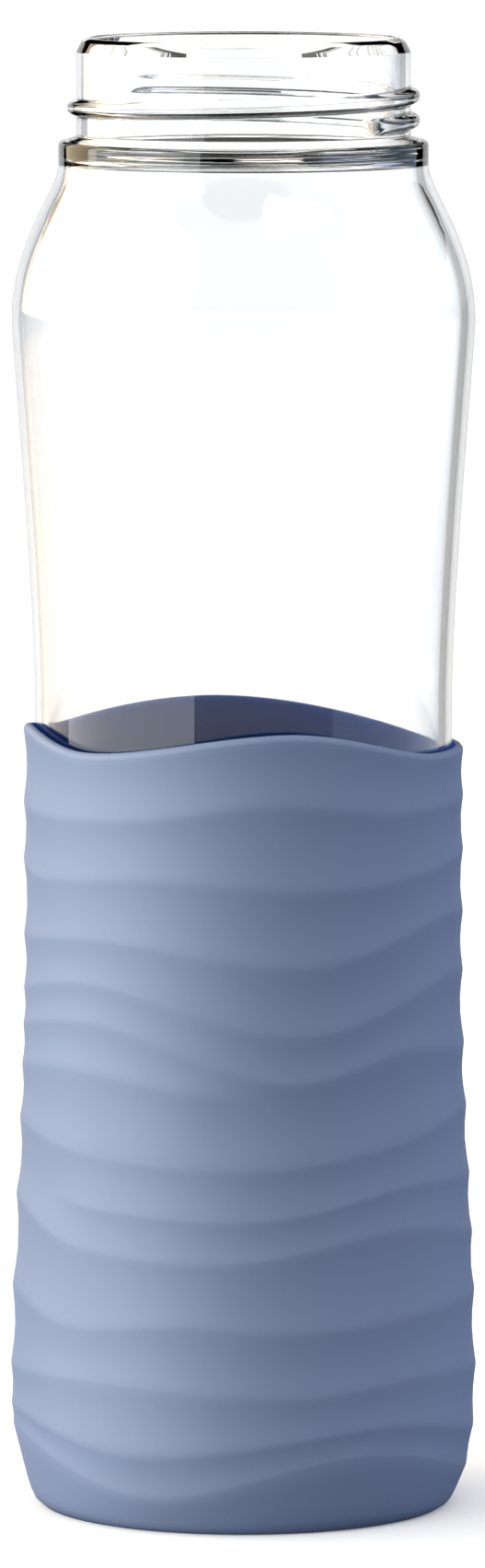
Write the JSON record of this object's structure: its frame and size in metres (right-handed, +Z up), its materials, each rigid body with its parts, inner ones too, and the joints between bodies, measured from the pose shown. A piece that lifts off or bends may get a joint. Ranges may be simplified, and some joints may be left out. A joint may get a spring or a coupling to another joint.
{
  "type": "water bottle",
  "caption": "Clear glass water bottle with a wide open screw neck, standing in a soft silicone sleeve with wavy raised lines that covers its lower half.",
  "frame": {"origin": "on the table, at the centre of the sleeve's foot", "axes": "+Z up along the bottle to its rim; -Y is the front, where the picture looks from; +X is to the right"},
  "size_m": [0.0748, 0.0748, 0.2355],
  "materials": {
    "sleeve_silicone": "matt slate-blue moulded silicone",
    "bottle_glass": "clear colourless glass, fire-polished"
  },
  "bodies": {
    "sleeve": {"silicone_sleeve": "sleeve_silicone"},
    "bottle": {"glass_bottle": "bottle_glass"}
  },
  "joints": [
    {"name": "bottle_lift", "type": "slide", "parent": "sleeve", "child": "bottle", "axis": [0, 0, 1], "range_m": [0, 0.13]}
  ]
}
